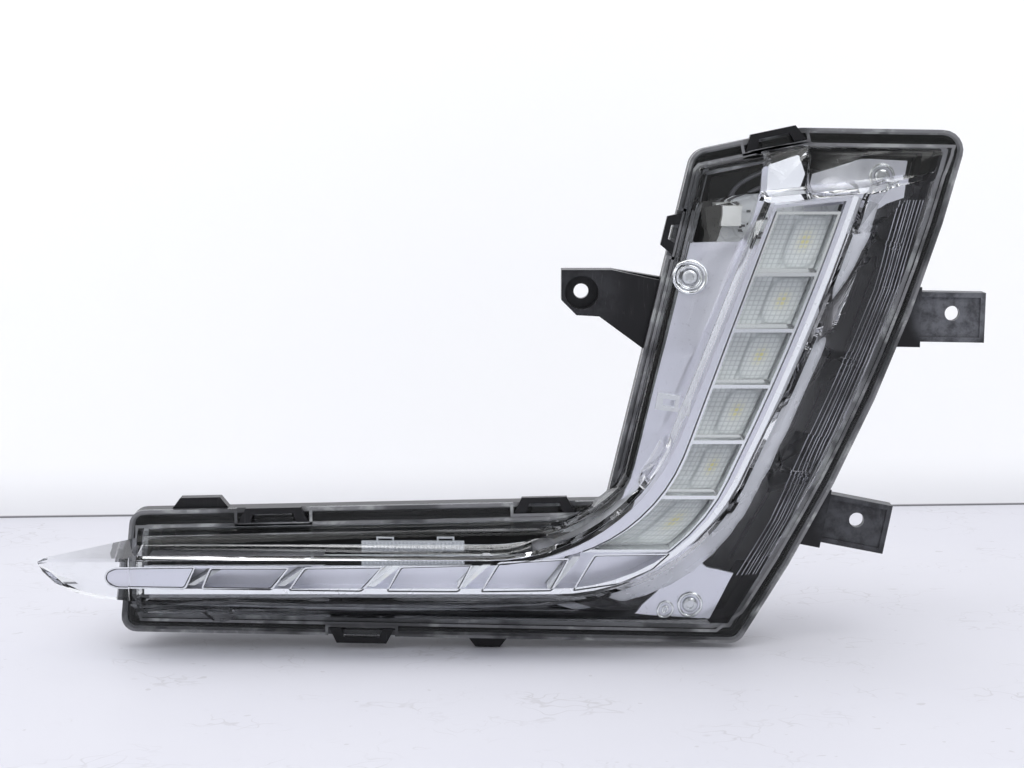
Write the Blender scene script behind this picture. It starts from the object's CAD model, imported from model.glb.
"""Finishes, fine pieces, studio and camera for a car's daytime running light.

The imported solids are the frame. Everything here is in metres and in the frame's own axes: X right, Y to the
lamp's back and Z up, from the seat of the left mounting boss.
"""

from __future__ import annotations

import logging
import math
import random
from dataclasses import dataclass
from enum import Enum

import bmesh
import bpy
from mathutils import Matrix, Vector
from mathutils.bvhtree import BVHTree

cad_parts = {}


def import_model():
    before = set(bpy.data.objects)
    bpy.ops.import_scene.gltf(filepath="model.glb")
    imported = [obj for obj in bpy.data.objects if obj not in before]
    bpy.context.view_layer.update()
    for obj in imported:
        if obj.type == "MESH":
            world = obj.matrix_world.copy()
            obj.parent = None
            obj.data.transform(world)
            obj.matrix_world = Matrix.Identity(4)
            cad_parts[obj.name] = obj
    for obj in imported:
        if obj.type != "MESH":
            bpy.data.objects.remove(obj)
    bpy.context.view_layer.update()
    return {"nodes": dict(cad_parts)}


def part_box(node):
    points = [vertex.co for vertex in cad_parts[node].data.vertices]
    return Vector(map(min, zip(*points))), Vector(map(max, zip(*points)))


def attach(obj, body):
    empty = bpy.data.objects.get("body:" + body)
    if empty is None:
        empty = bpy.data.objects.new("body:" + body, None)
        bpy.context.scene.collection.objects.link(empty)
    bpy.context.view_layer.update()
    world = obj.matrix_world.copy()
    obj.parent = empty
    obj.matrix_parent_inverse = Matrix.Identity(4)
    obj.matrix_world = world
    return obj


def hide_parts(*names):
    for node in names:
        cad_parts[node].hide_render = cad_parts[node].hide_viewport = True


LOG = logging.getLogger("running_light")
MM = 0.001
ROOT = "root"

Colour = tuple[float, float, float]


class Group(Enum):
    """Shader node groups that several finishes share."""

    DUST = "settled_dust"
    GRAIN = "moulded_grain"
    HAIRLINES = "hairline_scratches"
    SMUDGE = "handling_smudges"


class Shading(Enum):
    """How sharply a merged copy of a solid breaks its smooth shading, in degrees."""

    SWEPT = 11.0
    MOULDED = 32.0
    CUSHIONED = 60.0
    TUBE = 80.0


# Node graphs


class Graph:
    """A node tree with short calls for the nodes that the finishes use."""

    def __init__(self, tree: bpy.types.NodeTree) -> None:
        """Keeps the material's or group's own node tree."""
        self.tree = tree

    def add(self, kind: str, **settings: object) -> bpy.types.Node:
        """Adds a node.

        Args:
            kind: the node's type, without its ShaderNode prefix.
            **settings: properties of the node.

        Returns:
            The new node.
        """
        node = self.tree.nodes.new("ShaderNode" + kind)
        for name, value in settings.items():
            setattr(node, name, value)
        return node

    def link(self, source: bpy.types.NodeSocket, target: bpy.types.NodeSocket) -> None:
        """Joins an output to an input."""
        self.tree.links.new(source, target)

    def put(self, socket: bpy.types.NodeSocket, value: object) -> None:
        """Feeds a socket from another socket, or sets its number or colour.

        Args:
            socket: the input to feed.
            value: an output socket, a number or a colour of three or four numbers.
        """
        if isinstance(value, bpy.types.NodeSocket):
            self.link(value, socket)
        elif isinstance(value, tuple) and len(value) == 3 and len(socket.default_value) == 4:
            socket.default_value = (*value, 1.0)
        else:
            socket.default_value = value

    def math(self, operation: str, a: object, b: object = 0.0, clamp: bool = False) -> bpy.types.NodeSocket:
        """Joins two values by an operation.

        Args:
            operation: the Math node's operation.
            a: first value or socket.
            b: second value or socket.
            clamp: whether the result stays between 0 and 1.

        Returns:
            The result's socket.
        """
        node = self.add("Math", operation=operation, use_clamp=clamp)
        self.put(node.inputs[0], a)
        self.put(node.inputs[1], b)
        return node.outputs[0]

    def times(self, a: object, b: object, clamp: bool = False) -> bpy.types.NodeSocket:
        """Multiplies two values."""
        return self.math("MULTIPLY", a, b, clamp)

    def plus(self, a: object, b: object, clamp: bool = False) -> bpy.types.NodeSocket:
        """Adds two values."""
        return self.math("ADD", a, b, clamp)

    def apart(self, a: object, b: object) -> bpy.types.NodeSocket:
        """Returns how far two values are apart."""
        return self.math("ABSOLUTE", self.math("SUBTRACT", a, b))

    def noise(self, vector: object, scale: object, detail: float = 4.0, rough: float = 0.55) -> bpy.types.NodeSocket:
        """Adds a noise field.

        Args:
            vector: coordinates socket.
            scale: scale number or socket.
            detail: octaves.
            rough: share of each finer octave.

        Returns:
            The noise value's socket.
        """
        node = self.add("TexNoise")
        self.put(node.inputs["Vector"], vector)
        self.put(node.inputs["Scale"], scale)
        self.put(node.inputs["Detail"], detail)
        self.put(node.inputs["Roughness"], rough)
        return node.outputs["Fac"]

    def band(self, value: object, low: object, high: object, to_low: object = 0.0,
             to_high: object = 1.0) -> bpy.types.NodeSocket:
        """Maps a value from one range to another, held at both ends.

        Args:
            value: the value's socket.
            low: start of the source range.
            high: end of the source range.
            to_low: result at the start.
            to_high: result at the end.

        Returns:
            The mapped value's socket.
        """
        node = self.add("MapRange", clamp=True, interpolation_type="SMOOTHSTEP")
        for name, item in (("Value", value), ("From Min", low), ("From Max", high), ("To Min", to_low),
                           ("To Max", to_high)):
            self.put(node.inputs[name], item)
        return node.outputs["Result"]

    def blend(self, share: object, a: object, b: object) -> bpy.types.NodeSocket:
        """Mixes two colours.

        Args:
            share: how much of the second colour shows.
            a: first colour.
            b: second colour.

        Returns:
            The mixed colour's socket.
        """
        node = self.add("Mix", data_type="RGBA")
        self.put(node.inputs["Factor"], share)
        self.put(node.inputs[6], a)
        self.put(node.inputs[7], b)
        return node.outputs[2]

    def place(self) -> bpy.types.NodeSocket:
        """Returns the Object coordinates' socket."""
        return self.add("TexCoord").outputs["Object"]

    def axis(self, name: str, vector: object = None) -> bpy.types.NodeSocket:
        """Takes one axis out of a vector.

        Args:
            name: X, Y or Z.
            vector: the vector's socket, or nothing for the Object coordinates.

        Returns:
            The socket of that axis.
        """
        node = self.add("SeparateXYZ")
        self.link(self.place() if vector is None else vector, node.inputs[0])
        return node.outputs[name]

    def stretched(self, scale: tuple[float, float, float], turn: float = 0.0) -> bpy.types.NodeSocket:
        """Object coordinates, turned about Y and stretched.

        Args:
            scale: stretch along X, Y and Z.
            turn: turn about Y in degrees.

        Returns:
            The coordinates' socket.
        """
        node = self.add("Mapping")
        node.inputs["Rotation"].default_value = (0.0, math.radians(turn), 0.0)
        node.inputs["Scale"].default_value = scale
        self.link(self.place(), node.inputs["Vector"])
        return node.outputs["Vector"]

    def shared(self, group: Group, **values: object) -> bpy.types.NodeSocket:
        """Places a shared group with this finish's own values.

        Args:
            group: which group.
            **values: the group's inputs by name.

        Returns:
            The group's output socket.
        """
        node = self.add("Group")
        node.node_tree = bpy.data.node_groups[group.value]
        for name, value in values.items():
            self.put(node.inputs[name.capitalize()], value)
        return node.outputs[0]

    def bump(self, height: object, strength: float, depth: float) -> bpy.types.NodeSocket:
        """Turns a height into a normal.

        Args:
            height: the height's socket.
            strength: share of the effect.
            depth: real depth in metres for a height of 1.

        Returns:
            The normal's socket.
        """
        node = self.add("Bump")
        node.inputs["Strength"].default_value = strength
        node.inputs["Distance"].default_value = depth
        self.link(height, node.inputs["Height"])
        return node.outputs["Normal"]


class SharedGroups:
    """Builds the shader node groups once."""

    def build(self) -> None:
        """Makes all the groups."""
        self._dust()
        self._grain()
        self._hairlines()
        self._smudge()

    def _start(self, group: Group, inputs: dict[str, float], output: str) -> tuple[Graph, dict, bpy.types.NodeSocket]:
        """Opens a group with its sockets.

        Args:
            group: which group.
            inputs: names and defaults of the inputs.
            output: name of the output.

        Returns:
            The group's graph, its input sockets by name and the socket to feed.
        """
        tree = bpy.data.node_groups.new(group.value, "ShaderNodeTree")
        for name, value in inputs.items():
            socket = tree.interface.new_socket(name, in_out="INPUT", socket_type="NodeSocketFloat")
            socket.default_value = value
        tree.interface.new_socket(output, in_out="OUTPUT", socket_type="NodeSocketFloat")
        into = tree.nodes.new("NodeGroupInput")
        out = tree.nodes.new("NodeGroupOutput")
        return Graph(tree), {n: into.outputs[n] for n in inputs}, out.inputs[output]

    def _dust(self) -> None:
        """Dust that settles on faces that look up, in soft patches."""
        g, given, result = self._start(Group.DUST, {"Scale": 60.0, "Amount": 0.5}, "Mask")
        patch = g.band(g.noise(g.place(), given["Scale"], 2.5, 0.5), 0.38, 0.72)
        upward = g.band(g.axis("Z", g.add("NewGeometry").outputs["Normal"]), -0.1, 0.9, 0.35, 1.0)
        g.link(g.times(g.times(patch, upward), given["Amount"], True), result)

    def _grain(self) -> None:
        """Fine spark-eroded grain of a moulding."""
        g, given, result = self._start(Group.GRAIN, {"Scale": 900.0, "Waves": 45.0}, "Height")
        fine = g.noise(g.place(), given["Scale"], 3.0)
        slow = g.noise(g.place(), given["Waves"], 2.0)
        g.link(g.plus(g.times(fine, 0.35), g.times(slow, 0.65)), result)

    def _hairlines(self) -> None:
        """Thin scratches in two directions."""
        g, given, result = self._start(Group.HAIRLINES, {"Scale": 30.0, "Amount": 0.5, "Width": 0.006}, "Mask")
        lines = []
        for turn, along in ((24.0, (9.0, 9.0, 0.35)), (-57.0, (11.0, 11.0, 0.3))):
            field_value = g.noise(g.stretched(along, turn), given["Scale"], 2.0, 0.5)
            lines.append(g.band(g.apart(field_value, 0.5), 0.0, given["Width"], 1.0, 0.0))
        where = g.band(g.noise(g.place(), 26.0, 3.0), 0.5, 0.68)
        both = g.times(g.math("MAXIMUM", lines[0], lines[1]), where)
        g.link(g.times(both, given["Amount"], True), result)

    def _smudge(self) -> None:
        """Wide soft smudges from handling."""
        g, given, result = self._start(Group.SMUDGE, {"Scale": 18.0, "Amount": 0.5}, "Mask")
        wide = g.band(g.noise(g.place(), given["Scale"], 5.0, 0.6), 0.42, 0.74)
        g.link(g.times(wide, given["Amount"], True), result)


# Finishes


@dataclass(frozen=True)
class Finish:
    """One finish. Each kind dresses a Principled shader in its own way."""

    name: str
    colour: Colour
    roughness: float

    def material(self) -> bpy.types.Material:
        """Builds the material, or returns it if it is built already.

        Returns:
            The material.
        """
        title = f"finish_{self.name}"
        made = bpy.data.materials.get(title)
        if made:
            return made
        made = bpy.data.materials.new(title)
        made.use_nodes = True
        made.node_tree.nodes.clear()
        g = Graph(made.node_tree)
        shader = g.add("BsdfPrincipled")
        out = g.add("OutputMaterial")
        g.put(shader.inputs["Base Color"], self.colour)
        g.put(shader.inputs["Roughness"], self.roughness)
        self.dress(g, shader)
        g.link(self.surface(g, shader), out.inputs["Surface"])
        return made

    def dress(self, g: Graph, shader: bpy.types.Node) -> None:
        """Gives the shader its detail.

        Args:
            g: the material's graph.
            shader: its Principled node.
        """

    def surface(self, g: Graph, shader: bpy.types.Node) -> bpy.types.NodeSocket:
        """Returns the shader socket that reaches the surface output."""
        return shader.outputs[0]


@dataclass(frozen=True)
class BlackMoulding(Finish):
    """Black plastic with fine grain, a little dust on top and grey wear round the fixing holes."""

    gloss: float = 0.32
    dust: float = 0.05
    dust_colour: Colour = (0.17, 0.17, 0.18)
    dust_rough: float = 0.4
    worn_colour: Colour = (0.15, 0.155, 0.175)
    worn_rough: float = 0.12
    worn_patches: float = 130.0
    scuff: float = 0.35
    scuff_colour: Colour = (0.14, 0.14, 0.15)
    grain: float = 0.1
    grain_depth: float = 0.000008
    ears: tuple[tuple[float, float, float, float], ...] = (
        (148.7, 0.0, -9.0, 0.9), (112.0, 0.0, -93.0, 0.4), (0.0, -4.0, 0.0, 0.12))
    ear_reach: float = 20.0

    def dress(self, g: Graph, shader: bpy.types.Node) -> None:
        """Adds grain, dust and wear.

        Args:
            g: the material's graph.
            shader: its Principled node.
        """
        g.put(shader.inputs["Specular IOR Level"], self.gloss)
        worn: object = 0.0
        for *ear, share in self.ears:
            away = g.add("VectorMath", operation="DISTANCE")
            g.link(g.place(), away.inputs[0])
            away.inputs[1].default_value = tuple(c * MM for c in ear)
            near = g.band(away.outputs["Value"], self.ear_reach * 0.55 * MM, self.ear_reach * MM, share, 0.0)
            worn = g.math("MAXIMUM", worn, near)
        patch = g.band(g.noise(g.place(), self.worn_patches, 6.0, 0.7), 0.32, 0.62, 0.25, 1.0)
        worn = g.times(worn, patch)
        dust = g.shared(Group.DUST, scale=45.0, amount=self.dust)
        scuff = g.shared(Group.HAIRLINES, scale=34.0, amount=self.scuff)
        colour = g.blend(dust, g.blend(worn, self.colour, self.worn_colour), self.dust_colour)
        g.link(g.blend(scuff, colour, self.scuff_colour), shader.inputs["Base Color"])
        rough = g.plus(g.times(dust, self.dust_rough), self.roughness)
        g.link(g.plus(g.times(worn, self.worn_rough), rough, True), shader.inputs["Roughness"])
        height = g.shared(Group.GRAIN, scale=2600.0, waves=40.0)
        g.link(g.bump(height, self.grain, self.grain_depth), shader.inputs["Normal"])


@dataclass(frozen=True)
class ClearMoulding(Finish):
    """Clear plastic that lets the lamps' light in. Its rim can be dull and smoky."""

    rim_colour: Colour = (0.50, 0.51, 0.50)
    rim_front: float = -0.0136
    rim_fade: float = 0.0012
    rim_share: float = 0.0
    rim_rough: float = 0.22
    smudge: float = 0.03
    hair: float = 0.05
    ripple: float = 0.00002
    clear: float = 1.0
    index: float = 1.40
    let_through: Colour = (0.93, 0.94, 0.95)

    def dress(self, g: Graph, shader: bpy.types.Node) -> None:
        """Adds smudges, hairlines, ripple and the dull rim.

        Args:
            g: the material's graph.
            shader: its Principled node.
        """
        g.put(shader.inputs["Transmission Weight"], self.clear)
        g.put(shader.inputs["IOR"], self.index)
        rim = g.band(g.axis("Y"), self.rim_front, self.rim_front + self.rim_fade, 0.0, self.rim_share)
        worn = g.band(g.noise(g.place(), 30.0, 4.0, 0.6), 0.35, 0.7, 0.65, 1.0)
        rim_worn = g.times(rim, worn)
        g.link(self.tone(g, rim_worn), shader.inputs["Base Color"])
        smudge = g.shared(Group.SMUDGE, scale=22.0, amount=self.smudge)
        hair = g.shared(Group.HAIRLINES, scale=30.0, amount=self.hair)
        rough = g.plus(g.plus(smudge, hair), g.times(rim_worn, self.rim_rough))
        g.link(g.plus(rough, self.roughness, True), shader.inputs["Roughness"])
        height = g.noise(g.place(), 42.0, 2.0)
        g.link(g.bump(height, 0.5, self.ripple), shader.inputs["Normal"])

    def tone(self, g: Graph, rim_worn: bpy.types.NodeSocket) -> bpy.types.NodeSocket:
        """Returns the colour, with the dull rim by its mask."""
        return g.blend(rim_worn, self.colour, self.rim_colour)

    def surface(self, g: Graph, shader: bpy.types.Node) -> bpy.types.NodeSocket:
        """Lets shadow and diffuse rays through, so the inside is lit.

        Args:
            g: the material's graph.
            shader: its Principled node.

        Returns:
            The socket of the mixed shader.
        """
        path = g.add("LightPath")
        clear = g.add("BsdfTransparent")
        g.put(clear.inputs["Color"], self.let_through)
        share = g.math("MAXIMUM", path.outputs["Is Shadow Ray"], path.outputs["Is Diffuse Ray"])
        mix = g.add("MixShader")
        g.link(share, mix.inputs[0])
        g.link(shader.outputs[0], mix.inputs[1])
        g.link(clear.outputs[0], mix.inputs[2])
        return mix.outputs[0]


@dataclass(frozen=True)
class CushionedPane(ClearMoulding):
    """Clear pane whose grooves look darker and whose middle picks up the LED's yellow."""

    groove: Colour = (0.36, 0.39, 0.40)
    groove_share: float = 0.85
    glow: Colour = (1.0, 0.86, 0.22)
    glow_share: float = 0.95

    def tone(self, g: Graph, rim_worn: bpy.types.NodeSocket) -> bpy.types.NodeSocket:
        """Takes the grooves and the yellow from the piece's own attributes.

        Args:
            g: the material's graph.
            rim_worn: mask of the dull rim, which a pane doesn't have.

        Returns:
            The colour's socket.
        """
        groove, glow = (g.add("Attribute", attribute_name=name).outputs["Fac"] for name in ("groove", "glow"))
        lit = g.blend(g.times(glow, self.glow_share, True), self.colour, self.glow)
        return g.blend(g.times(groove, self.groove_share), lit, self.groove)


@dataclass(frozen=True)
class Metallised(Finish):
    """Plastic or metal under a metal layer, from satin to bright."""

    metallic: float = 1.0
    ripple: float = 0.00005
    waves: float = 60.0
    patch: float = 0.06
    speck: float = 0.35
    speck_tone: float = 0.55

    def dress(self, g: Graph, shader: bpy.types.Node) -> None:
        """Adds a faint ripple, patches of haze and specks.

        Args:
            g: the material's graph.
            shader: its Principled node.
        """
        g.put(shader.inputs["Metallic"], self.metallic)
        haze = g.shared(Group.SMUDGE, scale=30.0, amount=self.patch)
        speck = g.band(g.noise(g.place(), 900.0, 1.0), 0.70, 0.74)
        dull = tuple(c * self.speck_tone for c in self.colour)
        g.link(g.blend(g.times(speck, self.speck), self.colour, dull), shader.inputs["Base Color"])
        g.link(g.plus(haze, self.roughness, True), shader.inputs["Roughness"])
        g.link(g.bump(g.noise(g.place(), self.waves, 2.0), 0.5, self.ripple), shader.inputs["Normal"])


@dataclass(frozen=True)
class WornBorder(Finish):
    """Smoky border of a clear moulding over black plastic, scraped pale in places."""

    scraped: Colour = (0.31, 0.32, 0.32)
    scraped_rough: float = 0.25
    deep: Colour = (0.06, 0.061, 0.065)
    relief: float = 0.0001

    def dress(self, g: Graph, shader: bpy.types.Node) -> None:
        """Adds long pale scrapes, dark gaps and a fine relief.

        Args:
            g: the material's graph.
            shader: its Principled node.
        """
        pale = g.band(g.noise(g.place(), 75.0, 6.0, 0.7), 0.50, 0.62)
        dark = g.band(g.noise(g.place(), 32.0, 3.0, 0.6), 0.40, 0.50, 1.0, 0.0)
        tone = g.blend(dark, g.blend(pale, self.colour, self.scraped), self.deep)
        g.link(tone, shader.inputs["Base Color"])
        g.link(g.plus(g.times(pale, self.scraped_rough), self.roughness, True), shader.inputs["Roughness"])
        g.link(g.bump(g.noise(g.place(), 420.0, 4.0), 0.4, self.relief), shader.inputs["Normal"])


@dataclass(frozen=True)
class PaintedBoard(Finish):
    """White solder mask with faint tracks under it."""

    track: float = 0.14
    track_scale: float = 190.0
    track_depth: float = 0.00004

    def dress(self, g: Graph, shader: bpy.types.Node) -> None:
        """Adds copper tracks as a faint relief and tone.

        Args:
            g: the material's graph.
            shader: its Principled node.
        """
        cells = g.add("TexVoronoi", distance="MANHATTAN", feature="DISTANCE_TO_EDGE")
        g.link(g.place(), cells.inputs["Vector"])
        g.put(cells.inputs["Scale"], self.track_scale)
        track = g.band(cells.outputs["Distance"], 0.04, 0.09, 1.0, 0.0)
        tone = tuple(c * (1.0 - self.track) for c in self.colour)
        g.link(g.blend(track, self.colour, tone), shader.inputs["Base Color"])
        g.link(g.bump(track, 0.4, self.track_depth), shader.inputs["Normal"])


@dataclass(frozen=True)
class Phosphor(Finish):
    """Yellow phosphor under clear silicone."""

    edge: Colour = (0.95, 0.80, 0.18)
    coat: float = 0.6
    soft: float = 0.15
    soft_depth: float = 0.0006

    def dress(self, g: Graph, shader: bpy.types.Node) -> None:
        """Adds grains of phosphor and a clear coat.

        Args:
            g: the material's graph.
            shader: its Principled node.
        """
        grain = g.band(g.noise(g.place(), 2600.0, 3.0), 0.35, 0.65)
        g.link(g.blend(grain, self.colour, self.edge), shader.inputs["Base Color"])
        g.put(shader.inputs["Coat Weight"], self.coat)
        g.put(shader.inputs["Subsurface Weight"], self.soft)
        g.put(shader.inputs["Subsurface Scale"], self.soft_depth)


@dataclass(frozen=True)
class SoftPlastic(Finish):
    """Plain moulded nylon, wire sleeve or sealing compound."""

    mottle: float = 0.25
    depth: float = 0.0001
    scale: float = 260.0

    def dress(self, g: Graph, shader: bpy.types.Node) -> None:
        """Adds mottling and a slight relief.

        Args:
            g: the material's graph.
            shader: its Principled node.
        """
        cloud = g.noise(g.place(), self.scale, 4.0)
        dark = tuple(c * (1.0 - self.mottle) for c in self.colour)
        g.link(g.blend(g.band(cloud, 0.35, 0.65), self.colour, dark), shader.inputs["Base Color"])
        g.link(g.bump(cloud, 0.4, self.depth), shader.inputs["Normal"])


@dataclass(frozen=True)
class StudioSurface(Finish):
    """Floor or wall: flat paint with fine marks. Seen, mirrored or through glass it keeps its own pale colour."""

    shown: Colour = (0.9, 0.9, 0.9)
    far: Colour = (0.9, 0.9, 0.9)
    marks: float = 0.0
    stain: Colour = (0.55, 0.55, 0.63)
    scratch: Colour = (0.30, 0.28, 0.28)
    one_sided: bool = False
    foot: float = 0.0
    foot_shade: Colour = (0.50, 0.50, 0.54)
    foot_line: Colour = (0.10, 0.10, 0.11)

    def dress(self, g: Graph, shader: bpy.types.Node) -> None:
        """Adds faint scratches and grey patches.

        Args:
            g: the material's graph.
            shader: its Principled node.
        """
        g.put(shader.inputs["Specular IOR Level"], 0.2)
        tone = g.blend(g.band(g.axis("Y"), -0.45, 0.25), self.shown, self.far)
        if self.marks > 0:
            hair = g.shared(Group.HAIRLINES, scale=4.5, amount=self.marks, width=0.014)
            cloud = g.band(g.noise(g.place(), 9.0, 6.0, 0.6), 0.3, 0.75, 0.0, self.marks * 0.5)
            speck = g.band(g.noise(g.place(), 150.0, 1.0), 0.76, 0.79, 0.0, self.marks)
            for mask, colour in ((cloud, self.stain), (hair, self.scratch), (speck, self.scratch)):
                tone = g.blend(mask, tone, colour)
        if self.foot:
            height = g.axis("Z")
            tone = g.blend(g.band(height, self.foot, self.foot + 0.030, 0.32, 0.0), tone, self.foot_shade)
            tone = g.blend(g.band(height, self.foot + 0.0006, self.foot + 0.0014, 0.85, 0.0), tone, self.foot_line)
        g.link(tone, shader.inputs["Base Color"])

    def surface(self, g: Graph, shader: bpy.types.Node) -> bpy.types.NodeSocket:
        """Makes the back of a one-sided backdrop see-through.

        Args:
            g: the material's graph.
            shader: its Principled node.

        Returns:
            The shader socket that reaches the surface output.
        """
        if not self.one_sided:
            return shader.outputs[0]
        mix = g.add("MixShader")
        g.link(g.add("NewGeometry").outputs["Backfacing"], mix.inputs[0])
        g.link(shader.outputs[0], mix.inputs[1])
        g.link(g.add("BsdfTransparent").outputs[0], mix.inputs[2])
        return mix.outputs[0]


BLACK = BlackMoulding("black_moulding", (0.006, 0.006, 0.0075), 0.34)
LENS = ClearMoulding("clear_lens", (0.975, 0.985, 0.99), 0.0, rim_share=1.0, index=1.28)
PANE = CushionedPane("cell_pane", (0.98, 1.0, 0.99), 0.02, smudge=0.05, ripple=0.0, clear=0.48)
BLADE = ClearMoulding("clear_blade", (0.96, 0.965, 0.98), 0.08, smudge=0.06, clear=0.4)
INSERT = ClearMoulding("ribbed_clear", (0.74, 0.75, 0.78), 0.10, smudge=0.06, clear=0.6)
CLIP = ClearMoulding("clear_clip", (0.95, 0.95, 0.97), 0.08, clear=0.35)
BORDER = WornBorder("smoky_border", (0.17, 0.17, 0.18), 0.34)
FLUTE = SoftPlastic("lens_flute", (0.42, 0.42, 0.47), 0.3, mottle=0.6, scale=60.0)
SATIN = Metallised("satin_trim", (0.79, 0.79, 0.86), 0.30, ripple=0.00002)
SKIRT = Metallised("bright_skirt", (0.93, 0.93, 0.96), 0.26, metallic=0.25, ripple=0.00004, waves=30.0)
CHROME = Metallised("bright_chrome", (0.86, 0.87, 0.88), 0.06, ripple=0.00008, waves=90.0)
STEEL = Metallised("plated_steel", (0.72, 0.73, 0.75), 0.22, patch=0.2)
CAST = Metallised("cast_metal", (0.62, 0.63, 0.64), 0.45, patch=0.2)
TINNED = Metallised("tinned_contact", (0.78, 0.70, 0.48), 0.25)
BOARD = PaintedBoard("solder_mask", (0.93, 0.95, 0.97), 0.35)
PHOSPHOR = Phosphor("led_phosphor", (0.93, 0.72, 0.10), 0.4)
PACKAGE = SoftPlastic("led_package", (0.86, 0.86, 0.83), 0.4, mottle=0.05)
NYLON = SoftPlastic("white_nylon", (0.82, 0.82, 0.79), 0.45, mottle=0.06)
SLEEVE = SoftPlastic("wire_sleeve", (0.10, 0.10, 0.11), 0.35)
SEALANT = SoftPlastic("sealing_compound", (0.014, 0.014, 0.014), 0.55, depth=0.0004, scale=140.0)
VENT = SoftPlastic("vent_rubber", (0.03, 0.03, 0.03), 0.7)
INK = SoftPlastic("dark_print", (0.05, 0.05, 0.06), 0.6)
FLOOR = StudioSurface("studio_floor", (0.8, 0.8, 0.86), 0.55, shown=(0.60, 0.60, 0.655), far=(0.66, 0.66, 0.71),
                      marks=0.26)
WALL = StudioSurface("studio_wall", (0.98, 0.98, 0.98), 0.8, shown=(0.985, 0.99, 1.0), far=(0.985, 0.99, 1.0),
                     one_sided=True, foot=-0.1436)

CAD_FINISHES: dict[str, Finish] = {
    "housing": BLACK, "rear_socket": BLACK, "seal_bead": SEALANT, "bezel": SATIN, "reflector": CHROME,
    "light_blades": BLADE, "bezel_clip": CLIP, "led_board": BOARD, "arm_board": BOARD,
    "heat_sink": CAST, "board_connector": NYLON, "terminals": TINNED, "vent_cap": VENT, "board_screws": STEEL,
}


# Mesh helpers


def in_scene(name: str, data: bpy.types.ID) -> bpy.types.Object:
    """Makes an object and links it to the scene.

    Args:
        name: its name.
        data: its mesh, lamp or camera data.

    Returns:
        The object.
    """
    made = bpy.data.objects.new(name, data)
    bpy.context.scene.collection.objects.link(made)
    return made


def new_piece(name: str, bm: bmesh.types.BMesh, finish: Finish) -> bpy.types.Object:
    """Turns a bmesh into a piece that rides on the lamp.

    Args:
        name: the piece's name.
        bm: its mesh, freed here.
        finish: its finish.

    Returns:
        The piece.
    """
    mesh = bpy.data.meshes.new(name)
    bm.to_mesh(mesh)
    bm.free()
    piece = in_scene(name, mesh)
    mesh.materials.append(finish.material())
    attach(piece, ROOT)
    LOG.info("%s: %d faces", name, len(mesh.polygons))
    return piece


def shade(piece: bpy.types.Object, breaks: Shading) -> None:
    """Smooths a piece and keeps the edges that are sharper than an angle."""
    piece.data.shade_smooth()
    piece.data.set_sharp_from_angle(angle=math.radians(breaks.value))


def merged_copy(node: bpy.types.Object) -> bmesh.types.BMesh:
    """Copies a solid's mesh with its doubles merged and its flat faces joined.

    Args:
        node: the solid's object.

    Returns:
        The copy.
    """
    bm = bmesh.new()
    bm.from_mesh(node.data)
    bmesh.ops.remove_doubles(bm, verts=bm.verts, dist=2e-6)
    bmesh.ops.dissolve_degenerate(bm, edges=bm.edges, dist=1e-6)
    bmesh.ops.dissolve_limit(bm, angle_limit=math.radians(0.2), verts=bm.verts, edges=bm.edges,
                             use_dissolve_boundaries=False, delimit={"NORMAL"})
    return bm


def thicken(bm: bmesh.types.BMesh, depth: float) -> None:
    """Extrudes a flat sheet that lies across Y and closes it.

    Args:
        bm: the sheet.
        depth: how far, in millimetres.
    """
    made = bmesh.ops.extrude_face_region(bm, geom=list(bm.faces))
    moved = [v for v in made["geom"] if isinstance(v, bmesh.types.BMVert)]
    bmesh.ops.translate(bm, vec=(0.0, depth * MM, 0.0), verts=moved)
    bmesh.ops.recalc_face_normals(bm, faces=bm.faces)


def front_matrix(place: tuple[float, float, float]) -> Matrix:
    """Returns the matrix that turns a shape drawn round Z to look forward, at a place in millimetres."""
    return Matrix.Translation(Vector(place) * MM) @ Matrix.Rotation(math.radians(90.0), 4, "X")


def lathe(bm: bmesh.types.BMesh, profile: list[tuple[float, float]], place: tuple[float, float, float],
          steps: int = 32) -> None:
    """Spins a profile of radius and height, in millimetres, round an axis that looks forward.

    Args:
        bm: the bmesh that gets the shape.
        profile: points as radius and height.
        place: foot of the axis in millimetres.
        steps: faces round the axis.
    """
    verts = [bm.verts.new((r * MM, 0.0, h * MM)) for r, h in profile]
    edges = [bm.edges.new(pair) for pair in zip(verts, verts[1:])]
    made = bmesh.ops.spin(bm, geom=[*verts, *edges], cent=(0, 0, 0), axis=(0, 0, 1), angle=math.tau, steps=steps,
                          use_merge=True, use_duplicate=False)
    ring = {v for e in made["geom_last"] if isinstance(e, bmesh.types.BMEdge) for v in e.verts}
    linked: set[bmesh.types.BMVert] = set(verts) | ring
    grown = True
    while grown:
        near = {v for e in (e for v in linked for e in v.link_edges) for v in e.verts}
        grown = not near <= linked
        linked |= near
    bmesh.ops.remove_doubles(bm, verts=list(linked), dist=1e-7)
    alive = [v for v in linked if v.is_valid]
    bmesh.ops.transform(bm, matrix=front_matrix(place), verts=alive)


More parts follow.
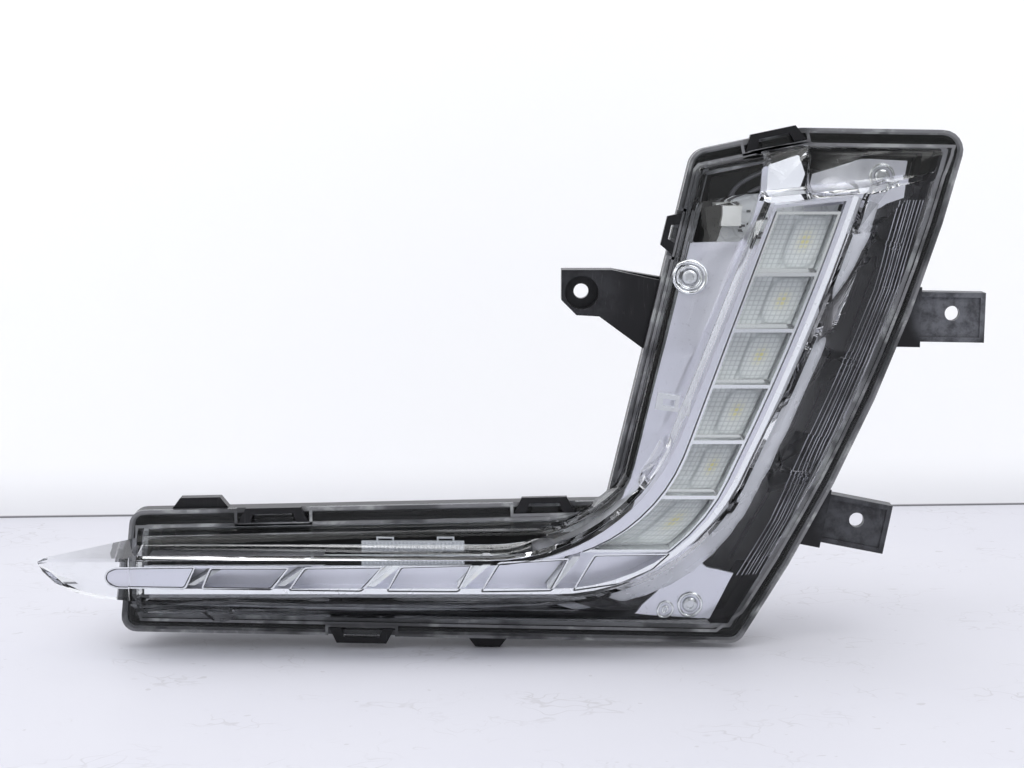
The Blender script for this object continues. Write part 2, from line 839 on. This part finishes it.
def block(bm: bmesh.types.BMesh, size: tuple[float, float, float], place: tuple[float, float, float],
          edge: float = 0.0, turn: float = 0.0) -> None:
    """Adds a box with broken edges.

    Args:
        bm: the bmesh that gets the box.
        size: size along X, Y and Z in millimetres.
        place: its centre in millimetres.
        edge: size of the broken edges in millimetres.
        turn: turn about Y in degrees.
    """
    made = bmesh.ops.create_cube(bm, size=1.0)
    verts = made["verts"]
    bmesh.ops.scale(bm, vec=Vector(size) * MM, verts=verts)
    if edge > 0:
        edges = list({e for v in verts for e in v.link_edges})
        bevelled = bmesh.ops.bevel(bm, geom=edges, offset=edge * MM, segments=2, profile=0.5, affect="EDGES",
                                   material=-1)
        verts = list({v for f in bevelled["faces"] for v in f.verts})
        verts = list({v for v0 in verts for e in v0.link_edges for v in e.verts})
    bmesh.ops.transform(bm, matrix=Matrix.Translation(Vector(place) * MM) @
                        Matrix.Rotation(math.radians(turn), 4, "Y"), verts=verts)


def plate(bm: bmesh.types.BMesh, outline: list[tuple[float, float]], front: float, back: float,
          corner: float = 0.0, rim: float = 0.0) -> None:
    """Adds a flat plate that looks forward, or only its rim.

    Args:
        bm: the bmesh that gets the plate.
        outline: corners as x and z in millimetres.
        front: depth of its front in millimetres.
        back: depth of its back in millimetres.
        corner: length that each corner loses to its round, in millimetres.
        rim: width of the rim that is kept, in millimetres, or 0 for the whole plate.
    """
    part = bmesh.new()
    face = part.faces.new([part.verts.new((x * MM, back * MM, z * MM)) for x, z in outline])
    if face.normal.y > 0:
        face.normal_flip()
    if corner > 0:
        bmesh.ops.bevel(part, geom=list(part.verts), offset=corner * MM, segments=4, profile=0.5, affect="VERTICES",
                        material=-1)
    if rim > 0:
        inner = list(part.faces)
        bmesh.ops.inset_region(part, faces=inner, thickness=rim * MM, use_boundary=True, use_even_offset=True)
        bmesh.ops.delete(part, geom=inner, context="FACES_ONLY")
    thicken(part, front - back)
    mesh = bpy.data.meshes.new("plate")
    part.to_mesh(mesh)
    part.free()
    bm.from_mesh(mesh)
    bpy.data.meshes.remove(mesh)


def skin(bm: bmesh.types.BMesh, fronts: list[list[bmesh.types.BMVert]], backs: list[list[bmesh.types.BMVert]]) -> None:
    """Closes a sheet between two grids of vertices with equal rows and columns.

    Args:
        bm: the bmesh that holds them.
        fronts: rows of the front grid.
        backs: rows of the back grid.
    """
    rows, cols = len(fronts), len(fronts[0])
    for grid, flip in ((fronts, False), (backs, True)):
        for i in range(rows - 1):
            for j in range(cols - 1):
                quad = (grid[i][j], grid[i][j + 1], grid[i + 1][j + 1], grid[i + 1][j])
                bm.faces.new(quad[::-1] if flip else quad)
    edge = [(0, j) for j in range(cols)] + [(i, cols - 1) for i in range(1, rows)]
    edge += [(rows - 1, j) for j in range(cols - 2, -1, -1)] + [(i, 0) for i in range(rows - 2, 0, -1)]
    for (i, j), (k, m) in zip(edge, edge[1:] + edge[:1]):
        bm.faces.new((fronts[k][m], fronts[i][j], backs[i][j], backs[k][m]))
    bmesh.ops.recalc_face_normals(bm, faces=bm.faces)


def pillow(place: float) -> float:
    """Rounded rise of a cushion, 0 at its edges and 1 in its middle."""
    return math.sin(math.pi * (place % 1.0)) ** 0.8


def pane_rows(node: bpy.types.Object) -> list[tuple[float, float, float]]:
    """Reads a pane's left and right edges from its solid's flat back.

    Args:
        node: the pane's solid.

    Returns:
        Rows as height, left end and right end, from the lowest up.
    """
    back = max(v.co.y for v in node.data.vertices)
    rows: dict[int, list[float]] = {}
    heights: dict[int, float] = {}
    for vert in node.data.vertices:
        if back - vert.co.y < 1e-5:
            key = round(vert.co.z / 2e-5)
            rows.setdefault(key, []).append(vert.co.x)
            heights[key] = vert.co.z
    return [(heights[k], min(rows[k]), max(rows[k])) for k in sorted(rows) if len(set(rows[k])) > 2]


def row_at(rows: list[tuple[float, float, float]], share: float) -> tuple[float, float, float]:
    """Height and ends of a pane at a share of its height.

    Args:
        rows: the pane's rows.
        share: share of the way up.

    Returns:
        Height, left end and right end.
    """
    z = rows[0][0] + (rows[-1][0] - rows[0][0]) * share
    for low, high in zip(rows, rows[1:]):
        if z <= high[0] + 1e-9:
            t = (z - low[0]) / (high[0] - low[0])
            return z, low[1] + (high[1] - low[1]) * t, low[2] + (high[2] - low[2]) * t
    return rows[-1]


def centre_mm(node: str) -> Vector:
    """Middle of a solid's box in millimetres."""
    low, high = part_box(node)
    return (low + high) / 2 / MM


# Sub-assemblies


@dataclass
class Optics:
    """The clear lens, the cells' panes and the LEDs' phosphor."""

    cells: int = 6
    arm_leds: int = 5
    phosphor_r: float = 1.55
    phosphor_rise: float = 0.4
    cushion: float = 1.9
    cushion_rise: float = 0.3
    steps: int = 5
    split: float = 0.36
    groove_fall: float = 2.2
    ring_at: float = 0.97
    ring_wide: float = 0.07
    glow_at: tuple[float, float] = (0.66, 0.52)
    glow_wide: tuple[float, float] = (0.1, 0.15)
    base_rise: float = 2.0
    dome_rise: float = 2.4

    def build(self, nodes: dict[str, bpy.types.Object]) -> None:
        """Makes the optics.

        Args:
            nodes: the frame's solids by name.
        """
        self._lens(nodes["outer_lens"])
        for k in range(1, self.cells + 1):
            self._pane(nodes[f"cell_lens_{k}"], k)
        leds = [f"led_{k}" for k in range(1, self.cells + 1)]
        leds += [f"arm_led_{k}" for k in range(1, self.arm_leds + 1)]
        self._phosphor(leds)
        for name in leds:
            dress_node(nodes[name], PACKAGE)

    def _lens(self, node: bpy.types.Object) -> None:
        """Lays a smooth skin in place of the lens's faceted solid.

        Args:
            node: the lens's solid.
        """
        piece = new_piece("lens_moulding", merged_copy(node), LENS)
        shade(piece, Shading.SWEPT)
        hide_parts("outer_lens")

    def _pane(self, node: bpy.types.Object, number: int) -> None:
        """Makes one cell's pane, with fine cushions, a flat left field and a domed right field.

        Args:
            node: the pane's solid.
            number: the cell's number, from 1.
        """
        rows = pane_rows(node)
        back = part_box(f"cell_lens_{number}")[1].y
        across = round((rows[0][2] - rows[0][1]) / MM / self.cushion)
        along = round((rows[-1][0] - rows[0][0]) / MM / self.cushion)
        bm = bmesh.new()
        fronts, backs = [], []
        marks: list[tuple[float, float]] = []
        for i in range(along * self.steps + 1):
            w = i / (along * self.steps)
            z, left, right = row_at(rows, w)
            line_front, line_back = [], []
            for j in range(across * self.steps + 1):
                u = j / (across * self.steps)
                x = left + (right - left) * u
                swell = pillow(u * across) * pillow(w * along)
                rise = self._rise(u, w) + self.cushion_rise * swell
                line_front.append(bm.verts.new((x, back - rise * MM, z)))
                line_back.append(bm.verts.new((x, back, z)))
                marks.append(self._marks(u, w, swell))
            fronts.append(line_front)
            backs.append(line_back)
        skin(bm, fronts, backs)
        for name, values in zip(("groove", "glow"), zip(*marks)):
            layer = bm.verts.layers.float.new(name)
            bm.verts.index_update()
            bm.verts.ensure_lookup_table()
            for k, value in enumerate(values):
                bm.verts[2 * k][layer] = value
        piece = new_piece(f"cell_pane_{number}", bm, PANE)
        shade(piece, Shading.CUSHIONED)
        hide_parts(f"cell_lens_{number}")

    def _marks(self, u: float, w: float, swell: float) -> tuple[float, float]:
        """Works out how dark and how yellow the pane is at a place.

        Args:
            u: share of the way across, from the left.
            w: share of the way up.
            swell: the cushion's rise there, from 0 to 1.

        Returns:
            The groove's share and the glow's share.
        """
        side = abs(2 * (u - self.split) / (1 - self.split) - 1) if u > self.split else 2.0
        ring = (side ** 3 + abs(2 * w - 1) ** 3) ** (1 / 3)
        groove = max(0.5 - 0.5 * min(1.0, swell * self.groove_fall),
                     0.5 * math.exp(-((ring - self.ring_at) / self.ring_wide) ** 2))
        across, up = self.glow_at
        wide, tall = self.glow_wide
        return groove, math.exp(-((u - across) / wide) ** 2 - ((w - up) / tall) ** 2) * swell ** 0.5

    def _rise(self, u: float, w: float) -> float:
        """Works out the height of the pane's front over its back in millimetres, without the cushions.

        Args:
            u: share of the way across, from the left.
            w: share of the way up.

        Returns:
            The height.
        """
        if u <= self.split:
            return self.base_rise
        side = abs(2 * (u - self.split) / (1 - self.split) - 1)
        up = abs(2 * w - 1)
        return self.base_rise + self.dome_rise * max(0.0, 1 - side ** 3) ** 0.5 * max(0.0, 1 - up ** 3) ** 0.5

    def _phosphor(self, leds: list[str]) -> None:
        """Makes low domes of phosphor on the LEDs.

        Args:
            leds: the names of the LEDs' nodes.
        """
        bm = bmesh.new()
        rise = [(self.phosphor_r * math.cos(a), self.phosphor_rise * math.sin(a))
                for a in (math.radians(d) for d in (0, 25, 50, 70, 90))]
        for name in leds:
            middle = centre_mm(name)
            lathe(bm, [(self.phosphor_r, -0.1), *rise], (middle.x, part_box(name)[0].y / MM, middle.z), 20)
        piece = new_piece("led_phosphor_domes", bm, PHOSPHOR)
        shade(piece, Shading.TUBE)


def dress_node(node: bpy.types.Object, finish: Finish) -> None:
    """Gives a solid its finish."""
    node.data.materials.clear()
    node.data.materials.append(finish.material())


@dataclass
class Fasteners:
    """The trim's screws, with a recess in each head, and the rings round their bosses.

    A screw's profile is radius and height over its seat. A ring is inner radius, outer radius and height.
    """

    screw: tuple[tuple[float, float], ...] = (
        (0.0, -10.0), (1.6, -10.0), (1.6, 0.0), (3.2, 0.0), (3.2, 0.5), (2.7, 1.5), (2.2, 1.8), (1.5, 1.8), (1.3, 0.7),
        (0.0, 0.7))
    places: tuple[tuple[float, float, float], ...] = (
        (42.0, -18.5, 7.0), (43.5, -10.6, -124.5), (117.5, -10.6, 46.0))
    rings: tuple[tuple[tuple[float, float, float], ...], ...] = (
        ((5.4, 6.9, 2.0), (3.6, 4.9, 1.3)), ((3.9, 5.2, 1.2),), ((3.9, 5.2, 1.2),))
    boss: tuple[float, float, float] = (33.6, -10.6, -126.2)
    boss_rings: tuple[tuple[float, float, float], ...] = ((2.5, 3.5, 1.2), (0.6, 1.5, 0.9))
    ring_edge: float = 0.3

    def build(self) -> None:
        """Makes the three screws in place of their solids, and the rings."""
        bm = bmesh.new()
        for place in self.places:
            lathe(bm, list(self.screw), place, 36)
        bmesh.ops.recalc_face_normals(bm, faces=bm.faces)
        piece = new_piece("trim_screws", bm, STEEL)
        shade(piece, Shading.MOULDED)
        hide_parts("bezel_screws")
        self._rings()

    def _rings(self) -> None:
        """Makes two tall rings round the panel's screw, low ones round the others and a small bare boss."""
        bm = bmesh.new()
        for place, rings in zip([*self.places, self.boss], [*self.rings, self.boss_rings]):
            for inner, outer, height in rings:
                wide = (outer - inner) * self.ring_edge
                lathe(bm, [(inner, -0.2), (inner, height - wide), (inner + wide, height), (outer - wide, height),
                           (outer, height - wide), (outer, -0.2), (inner, -0.2)], place, 48)
        bmesh.ops.recalc_face_normals(bm, faces=bm.faces)
        piece = new_piece("screw_rings", bm, CHROME)
        shade(piece, Shading.CUSHIONED)


@dataclass
class BoardParts:
    """The board's corner that shows in the upper window, and its small chips."""

    chip: tuple[float, float, float] = (1.6, 0.6, 0.9)
    count: int = 7
    across: tuple[float, float] = (64.0, 70.0)
    up: tuple[float, float] = (17.0, 33.0)
    sunk: float = 0.6
    proud: float = 0.15
    corner: tuple[tuple[float, float], ...] = ((62.0, 37.4), (76.6, 37.4), (73.2, 19.1), (54.5, 19.1))

    def build(self) -> None:
        """Makes the chips and the corner."""
        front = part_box("led_board")[0].y / MM
        bm = bmesh.new()
        draw = random.Random(7)
        for _ in range(self.count):
            x, z = draw.uniform(*self.across), draw.uniform(*self.up)
            block(bm, self.chip, (x, front - self.chip[1] / 2, z), 0.1, draw.choice((0.0, 90.0)))
        new_piece("board_chips", bm, INK)
        bm = bmesh.new()
        plate(bm, list(self.corner), front - self.proud, front + self.sunk, 0.6)
        new_piece("board_corner", bm, BOARD)


@dataclass
class Skirt:
    """Bright skirt that slopes from the light channel's right wall to the lens's foot, and the facet at the crown."""

    top: float = -39.25
    foot: float = -18.6
    sheet: float = 0.45
    lip: float = 1.9
    gap: float = 0.15
    curve: float = 1.15
    crown: tuple[tuple[float, float], ...] = (
        (72.2, 50.4), (84.0, 54.2), (86.4, 47.2), (84.0, 40.4), (76.2, 37.4), (71.2, 37.0))
    crown_seat: float = -18.5
    crown_sheet: float = 0.5
    crown_edge: float = 0.15
    spread: tuple[float, float, float] = (8.4, 11.8, 9.6)
    lanes: int = 6

    def build(self, nodes: dict[str, bpy.types.Object]) -> None:
        """Makes the skirt along the trim's outer wall, and the facet.

        Args:
            nodes: the frame's solids by name.
        """
        line = outer_line(nodes["bezel"], -38.7)
        turns = [math.atan2(b[1] - a[1], b[0] - a[0]) for a, b in zip(line, line[1:])]
        turns = [turns[0], *((a + b) / 2 for a, b in zip(turns, turns[1:])), turns[-1]]
        first, last = turns[0], turns[-1]
        bm = bmesh.new()
        fronts, backs = [], []
        for (x, z), turn in zip(line, turns):
            share = (turn - first) / (last - first)
            arm, bend, column = self.spread
            reach = arm + (column - arm) * share + (bend - (arm + column) / 2) * math.sin(math.pi * share) ** 2
            out = (math.sin(turn), -math.cos(turn))
            front, back = [], []
            for k in range(-1, self.lanes + 1):
                t = max(k, 0) / self.lanes
                away = self.gap + reach * (t ** self.curve) if k >= 0 else -self.lip
                y = self.top + (self.foot - self.top) * t
                for row, depth in ((front, 0.0), (back, self.sheet)):
                    row.append(bm.verts.new(((x + out[0] * away) * MM, (y + depth) * MM, (z + out[1] * away) * MM)))
            fronts.append(front)
            backs.append(back)
        skin(bm, fronts, backs)
        piece = new_piece("channel_skirt", bm, SKIRT)
        shade(piece, Shading.MOULDED)
        self._crown()

    def _crown(self) -> None:
        """Makes the facet, with its long edges broken."""
        bm = bmesh.new()
        plate(bm, list(self.crown), self.crown_seat - self.crown_sheet, self.crown_seat, 1.0)
        long_edges = [e for e in bm.edges if e.calc_length() > MM]
        bmesh.ops.bevel(bm, geom=long_edges, offset=self.crown_edge * MM, segments=1, profile=0.5, affect="EDGES",
                        material=-1)
        new_piece("crown_facet", bm, SKIRT)


@dataclass
class ArmChannel:
    """Windows between the arm's blades, the channel's end plate and the ribbed insert over the channel."""

    rest: float = -38.7
    windows: tuple[tuple[tuple[float, float], ...], ...] = (
        ((-186.2, -108.6), (-185.3, -105.9), (-182.2, -104.3), (-150.3, -103.9), (-154.4, -113.0), (-181.6, -112.6),
         (-185.0, -111.0)),
        ((-144.9, -104.3), (-113.8, -104.3), (-120.9, -113.4), (-148.5, -113.0)),
        ((-108.4, -104.3), (-77.3, -103.9), (-85.9, -114.0), (-114.7, -113.6)),
        ((-71.1, -103.9), (-42.7, -103.1), (-48.2, -114.2), (-76.6, -114.0)),
        ((-33.0, -102.3), (-5.1, -100.7), (-12.0, -113.8), (-40.0, -114.2)),
        ((4.2, -99.2), (34.1, -98.8), (26.8, -105.5), (14.4, -111.0), (-4.3, -113.8)))
    frame_wide: float = 0.55
    frame_proud: float = 0.55
    groove_wide: float = 0.42
    groove_proud: float = 0.3
    groove_inset: tuple[float, float] = (0.6, 0.5)
    end_proud: float = 0.15
    insert_ribs: int = 27
    insert_depth: float = 2.4
    rib_share: float = 0.62
    rib_depth: float = 1.4
    loop_rise: float = 1.6
    loops: tuple[float, float] = (9.5, -7.5)
    loop_half: float = 3.1
    loop_post: tuple[float, float, float] = (0.8, 1.6, 1.9)
    loop_bar: tuple[float, float, float] = (7.0, 1.6, 0.7)

    def build(self) -> None:
        """Makes the frames, the end plate and the insert."""
        self._frames()
        self._end()
        self._insert()

    def _frames(self) -> None:
        """Makes bright frames round the windows, each with a dark groove inside it."""
        bright, dark = bmesh.new(), bmesh.new()
        for window in self.windows:
            plate(bright, list(window), self.rest - self.frame_proud, self.rest, 1.2, self.frame_wide)
            middle = Vector((sum(p[0] for p in window), sum(p[1] for p in window))) / len(window)
            half = max(abs(p[1] - middle.y) for p in window)
            side, end = self.groove_inset
            inner = [(middle.x + (p[0] - middle.x) * (1 - side / abs(p[0] - middle.x)),
                      middle.y + (p[1] - middle.y) * (1 - end / half)) for p in window]
            plate(dark, inner, self.rest - self.groove_proud, self.rest, 1.0, self.groove_wide)
        shade(new_piece("window_frames", bright, CHROME), Shading.MOULDED)
        new_piece("window_grooves", dark, INK)

    def _end(self) -> None:
        """Makes the rounded plate that ends the channel inside the lens's beak."""
        bm = bmesh.new()
        plate(bm, list(self.windows[0]), self.rest - self.end_proud, self.rest, 1.2)
        new_piece("channel_end", bm, SATIN)

    def _insert(self) -> None:
        """Makes the clear insert, with upright ribs and two small loops on its top."""
        low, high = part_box("ribbed_insert")
        low, high = low / MM, high / MM
        wide, tall = high.x - low.x, high.z - low.z - self.loop_rise
        middle = low.z + tall / 2
        bm = bmesh.new()
        block(bm, (wide, self.insert_depth, tall), ((low.x + high.x) / 2, low.y + self.insert_depth, middle), 0.3)
        pitch = wide / self.insert_ribs
        for k in range(self.insert_ribs):
            size = (pitch * self.rib_share, self.rib_depth, tall - 0.6)
            block(bm, size, (low.x + pitch * (k + 0.5), low.y + 0.9, middle), 0.25)
        for x in (low.x + self.loops[0], high.x + self.loops[1]):
            for side in (-self.loop_half, self.loop_half):
                block(bm, self.loop_post, (x + side, low.y + 2.2, high.z - 1.0), 0.15)
            block(bm, self.loop_bar, (x, low.y + 2.2, high.z - 0.35), 0.15)
        piece = new_piece("ribbed_insert_clear", bm, INSERT)
        shade(piece, Shading.MOULDED)
        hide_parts("ribbed_insert")


@dataclass
class EdgeStrips:
    """Smoky strips along the outer edge of the lens's flange and on the housing's rim."""

    flange: float = -12.5
    rim: float = -10.0
    width: float = 1.2
    proud: float = 0.06

    def build(self, nodes: dict[str, bpy.types.Object]) -> None:
        """Makes the strips from the solids' own front faces.

        Args:
            nodes: the frame's solids by name.
        """
        bm = self._fronts(nodes["housing"], self.rim)
        thicken(bm, -self.proud)
        shade(new_piece("rim_border", bm, BORDER), Shading.MOULDED)
        bm = self._fronts(nodes["outer_lens"], self.flange)
        marks = bm.verts.layers.int.new("outer")
        for vert in self._outer_verts(bm):
            vert[marks] = 1
        made = bmesh.ops.inset_region(bm, faces=list(bm.faces), thickness=self.width * MM, use_boundary=True,
                                      use_even_offset=True)
        strip = {f for f in made["faces"] if sum(v[marks] for v in f.verts) >= 2}
        bmesh.ops.delete(bm, geom=[f for f in bm.faces if f not in strip], context="FACES")
        thicken(bm, -self.proud)
        shade(new_piece("lens_border", bm, BORDER), Shading.MOULDED)

    def _fronts(self, node: bpy.types.Object, depth: float) -> bmesh.types.BMesh:
        """Keeps a solid's front faces at one depth.

        Args:
            node: the solid.
            depth: the faces' depth in millimetres.

        Returns:
            A copy with those faces only.
        """
        bm = merged_copy(node)
        spare = [f for f in bm.faces if f.normal.y > -0.98 or abs(f.calc_center_median().y / MM - depth) > 0.1]
        bmesh.ops.delete(bm, geom=spare, context="FACES")
        return bm

    def _outer_verts(self, bm: bmesh.types.BMesh) -> set[bmesh.types.BMVert]:
        """Finds the boundary loop that lies furthest out.

        Args:
            bm: the flange's front.

        Returns:
            The vertices of that loop.
        """
        left = {v for e in bm.edges if e.is_boundary for v in e.verts}
        best: set[bmesh.types.BMVert] = set()
        size = 0.0
        while left:
            loop, grow = set(), [next(iter(left))]
            while grow:
                vert = grow.pop()
                loop.add(vert)
                grow += [o for e in vert.link_edges if e.is_boundary for o in e.verts if o not in loop]
            left -= loop
            span = max(v.co.x for v in loop) - min(v.co.x for v in loop)
            if span > size:
                best, size = loop, span
        return best


@dataclass
class LensFlutes:
    """Fine upright flutes on the inside of the lens, between the ridge and the right rim."""

    ridge: tuple[tuple[float, float], ...] = (
        (121.2, 37.0), (112.1, 1.8), (100.8, -25.9), (87.9, -53.7), (72.5, -89.8), (59.3, -112.1))
    rim: tuple[tuple[float, float], ...] = (
        (134.6, 36.9), (124.8, 1.5), (114.7, -26.2), (103.3, -54.1), (86.0, -90.4), (74.0, -112.7))
    shares: tuple[float, ...] = (0.16, 0.3, 0.42, 0.5, 0.62, 0.7, 0.82, 0.92)
    wide: float = 0.34
    tall: float = 0.35
    sunk: float = 0.05
    stretch: int = 6
    longest: float = 20.0
    ray_from: float = -9.0

    def build(self, node: bpy.types.Object) -> None:
        """Lays each flute on the lens's inner face.

        Args:
            node: the lens's solid.
        """
        solid = merged_copy(node)
        tree = BVHTree.FromBMesh(solid)
        bm = bmesh.new()
        for share in self.shares:
            ends = [Vector(a).lerp(Vector(b), share) for a, b in zip(self.ridge, self.rim)]
            line = [a.lerp(b, k / self.stretch) for a, b in zip(ends, ends[1:]) for k in range(self.stretch)]
            rows = [row for row in (self._section(tree, p) for p in [*line, ends[-1]]) if row]
            for first, second in zip(rows, rows[1:]):
                if (second[0] - first[0]).length > self.longest * MM:
                    continue
                low = [bm.verts.new(co) for co in first]
                high = [bm.verts.new(co) for co in second]
                for k in range(len(low)):
                    bm.faces.new((low[k], low[k - 1], high[k - 1], high[k]))
        solid.free()
        bmesh.ops.remove_doubles(bm, verts=bm.verts, dist=1e-6)
        bmesh.ops.holes_fill(bm, edges=[e for e in bm.edges if e.is_boundary], sides=4)
        bmesh.ops.recalc_face_normals(bm, faces=bm.faces)
        new_piece("lens_flutes", bm, FLUTE)

    def _section(self, tree: BVHTree, place: Vector) -> list[Vector]:
        """Finds the four corners of a flute's section on the lens's inner face.

        Args:
            tree: the lens's faces.
            place: x and z in millimetres.

        Returns:
            The corners, or nothing where there is no lens.
        """
        start = Vector((place.x, self.ray_from, place.y)) * MM
        hit = tree.ray_cast(start, Vector((0.0, -1.0, 0.0)), self.longest * MM)[0]
        if hit is None:
            return []
        half = self.wide / 2
        return [hit + Vector((x, y, 0.0)) * MM for x, y in ((-half, -self.sunk), (half, -self.sunk),
                                                            (half * 0.5, self.tall), (-half * 0.5, self.tall))]


def outer_line(node: bpy.types.Object, depth: float, step: float = 8.0) -> list[tuple[float, float]]:
    """Reads the outer right edge of a solid's front face, which bends one way only, from its vertices.

    Args:
        node: the solid's object.
        depth: the face's depth in millimetres.
        step: longest stretch between two points of the line in millimetres.

    Returns:
        Points as x and z in millimetres, from the arm's left end to the column's top.
    """
    found = {(round(v.co.x / MM, 2), round(v.co.z / MM, 2)) for v in node.data.vertices
             if abs(v.co.y / MM - depth) < 0.05}
    hull: list[tuple[float, float]] = []
    for q in sorted(found):
        while len(hull) > 1 and (hull[-1][0] - hull[-2][0]) * (q[1] - hull[-2][1]) <= \
                (hull[-1][1] - hull[-2][1]) * (q[0] - hull[-2][0]):
            hull.pop()
        hull.append(q)
    line = [hull[0]]
    for start, end in zip(hull, hull[1:]):
        count = max(1, round(math.dist(start, end) / step))
        line += [(start[0] + (end[0] - start[0]) * k / count, start[1] + (end[1] - start[1]) * k / count)
                 for k in range(1, count + 1)]
    return line


@dataclass
class Leads:
    """Round leads in place of their plain solids."""

    def build(self, nodes: dict[str, bpy.types.Object]) -> None:
        """Lays a smooth copy in place of each lead.

        Args:
            nodes: the frame's solids by name.
        """
        for name in ("wire_upper", "wire_lower"):
            piece = new_piece(f"{name}_sleeve", merged_copy(nodes[name]), SLEEVE)
            shade(piece, Shading.TUBE)
            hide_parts(name)


@dataclass
class Studio:
    """Floor, wall, lamps, world and camera."""

    floor_z: float = -143.6
    wall_y: float = 302.0
    wall_turn: float = 4.2
    reach: float = 4000.0
    camera_place: tuple[float, float, float] = (-27.6, -897.825, 72.760)
    camera_target: tuple[float, float, float] = (-27.6, -4.534, -36.923)
    lens_mm: float = 79.1
    lamps: tuple[tuple[str, tuple[float, float, float], float, float], ...] = (
        ("key", (520.0, -800.0, 1100.0), 900.0, 8.5),
        ("left_fill", (-900.0, -700.0, 600.0), 700.0, 3.0),
        ("top", (-100.0, -150.0, 1400.0), 1000.0, 6.0))
    world_light: float = 0.66
    world_colour: Colour = (0.97, 0.98, 1.0)
    dark_bands: tuple[tuple[float, float], ...] = ((-0.08, 0.12), (0.62, 0.2), (-0.7, 0.1))
    dark_share: float = 0.75

    def build(self) -> None:
        """Makes the studio."""
        self._plane("studio_floor", FLOOR, (self.reach, self.reach), (0.0, 0.0, self.floor_z), 0.0, 0.0)
        self._plane("studio_wall", WALL, (self.reach, self.reach),
                    (0.0, self.wall_y, self.floor_z + self.reach / 2), 90.0, self.wall_turn)
        for lamp in self.lamps:
            self._lamp(*lamp)
        self._world()
        self._camera()

    def _plane(self, name: str, finish: Finish, size: tuple[float, float], place: tuple[float, float, float],
               tilt: float, turn: float) -> None:
        """Adds a flat stage surface.

        Args:
            name: its name.
            finish: its finish.
            size: width and depth in millimetres.
            place: its centre in millimetres.
            tilt: turn about X in degrees.
            turn: turn about Z after that, in degrees.
        """
        bm = bmesh.new()
        bmesh.ops.create_grid(bm, x_segments=1, y_segments=1, size=0.5)
        bmesh.ops.scale(bm, vec=(size[0] * MM, size[1] * MM, 1.0), verts=bm.verts)
        bmesh.ops.transform(bm, matrix=Matrix.Translation(Vector(place) * MM) @
                            Matrix.Rotation(math.radians(turn), 4, "Z") @ Matrix.Rotation(math.radians(tilt), 4, "X"),
                            verts=bm.verts)
        mesh = bpy.data.meshes.new(name)
        bm.to_mesh(mesh)
        bm.free()
        stage = in_scene(name, mesh)
        mesh.materials.append(finish.material())

    def _lamp(self, name: str, place: tuple[float, float, float], size: float, watts: float) -> None:
        """Adds a square soft lamp that looks at the object.

        Args:
            name: its name.
            place: its place in millimetres.
            size: its side in millimetres.
            watts: its power.
        """
        data = bpy.data.lights.new(name, "AREA")
        data.shape = "SQUARE"
        data.size = size * MM
        data.energy = watts
        self._aim(in_scene(name, data), place)

    def _aim(self, item: bpy.types.Object, place: tuple[float, float, float]) -> None:
        """Places a lamp or a camera and turns it to the object.

        Args:
            item: the lamp or the camera.
            place: its place in millimetres.
        """
        item.location = Vector(place) * MM
        aim = Vector(self.camera_target) - Vector(place)
        item.rotation_euler = aim.to_track_quat("-Z", "Y").to_euler()

    def _world(self) -> None:
        """Makes the world: white where it is seen, softer where it lights, banded where it is mirrored."""
        world = bpy.data.worlds.new("studio")
        bpy.context.scene.world = world
        world.use_nodes = True
        world.node_tree.nodes.clear()
        g = Graph(world.node_tree)
        path = g.add("LightPath")
        x, y, z = (g.axis(name, g.add("TexCoord").outputs["Generated"]) for name in "XYZ")
        low = g.band(z, 0.0, 0.3, 0.58, 0.9)
        upward = g.times(low, g.band(z, 0.42, 0.75, 1.0, 0.4))
        dark: object = 0.0
        for middle, half in self.dark_bands:
            dark = g.math("MAXIMUM", dark, g.band(g.apart(x, middle), half * 0.8, half * 1.2, 1.0, 0.0))
        front = g.math("LESS_THAN", y, 0.0)
        shade_share = g.times(g.times(dark, front), self.dark_share)
        mirrored = g.times(upward, g.math("SUBTRACT", 1.0, shade_share))
        level = g.add("Mix", data_type="FLOAT")
        g.link(path.outputs["Is Glossy Ray"], level.inputs[0])
        g.put(level.inputs[2], self.world_light)
        g.link(mirrored, level.inputs[3])
        last = g.add("Mix", data_type="FLOAT")
        g.link(path.outputs["Is Camera Ray"], last.inputs[0])
        g.link(level.outputs[0], last.inputs[2])
        g.put(last.inputs[3], 1.0)
        back = g.add("Background")
        g.put(back.inputs["Color"], self.world_colour)
        g.link(last.outputs[0], back.inputs["Strength"])
        out = g.add("OutputWorld")
        g.link(back.outputs[0], out.inputs["Surface"])

    def _camera(self) -> None:
        """Makes the camera at the photo's angle."""
        data = bpy.data.cameras.new("photo_camera")
        data.lens = self.lens_mm
        data.sensor_width = 36.0
        data.clip_start = 0.01
        data.clip_end = 20.0
        camera = in_scene("photo_camera", data)
        self._aim(camera, self.camera_place)
        bpy.context.scene.camera = camera


def main() -> None:
    """Builds the scene round the frame."""
    logging.basicConfig(level=logging.INFO, format="%(name)s: %(message)s")
    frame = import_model()
    scene = bpy.context.scene
    scene.view_settings.view_transform = "Standard"
    SharedGroups().build()
    Studio().build()
    nodes = frame["nodes"]
    for name, finish in CAD_FINISHES.items():
        dress_node(nodes[name], finish)
    Optics().build(nodes)
    Fasteners().build()
    Skirt().build(nodes)
    ArmChannel().build()
    EdgeStrips().build(nodes)
    LensFlutes().build(nodes["outer_lens"])
    BoardParts().build()
    Leads().build(nodes)


if __name__ == "__main__":
    main()
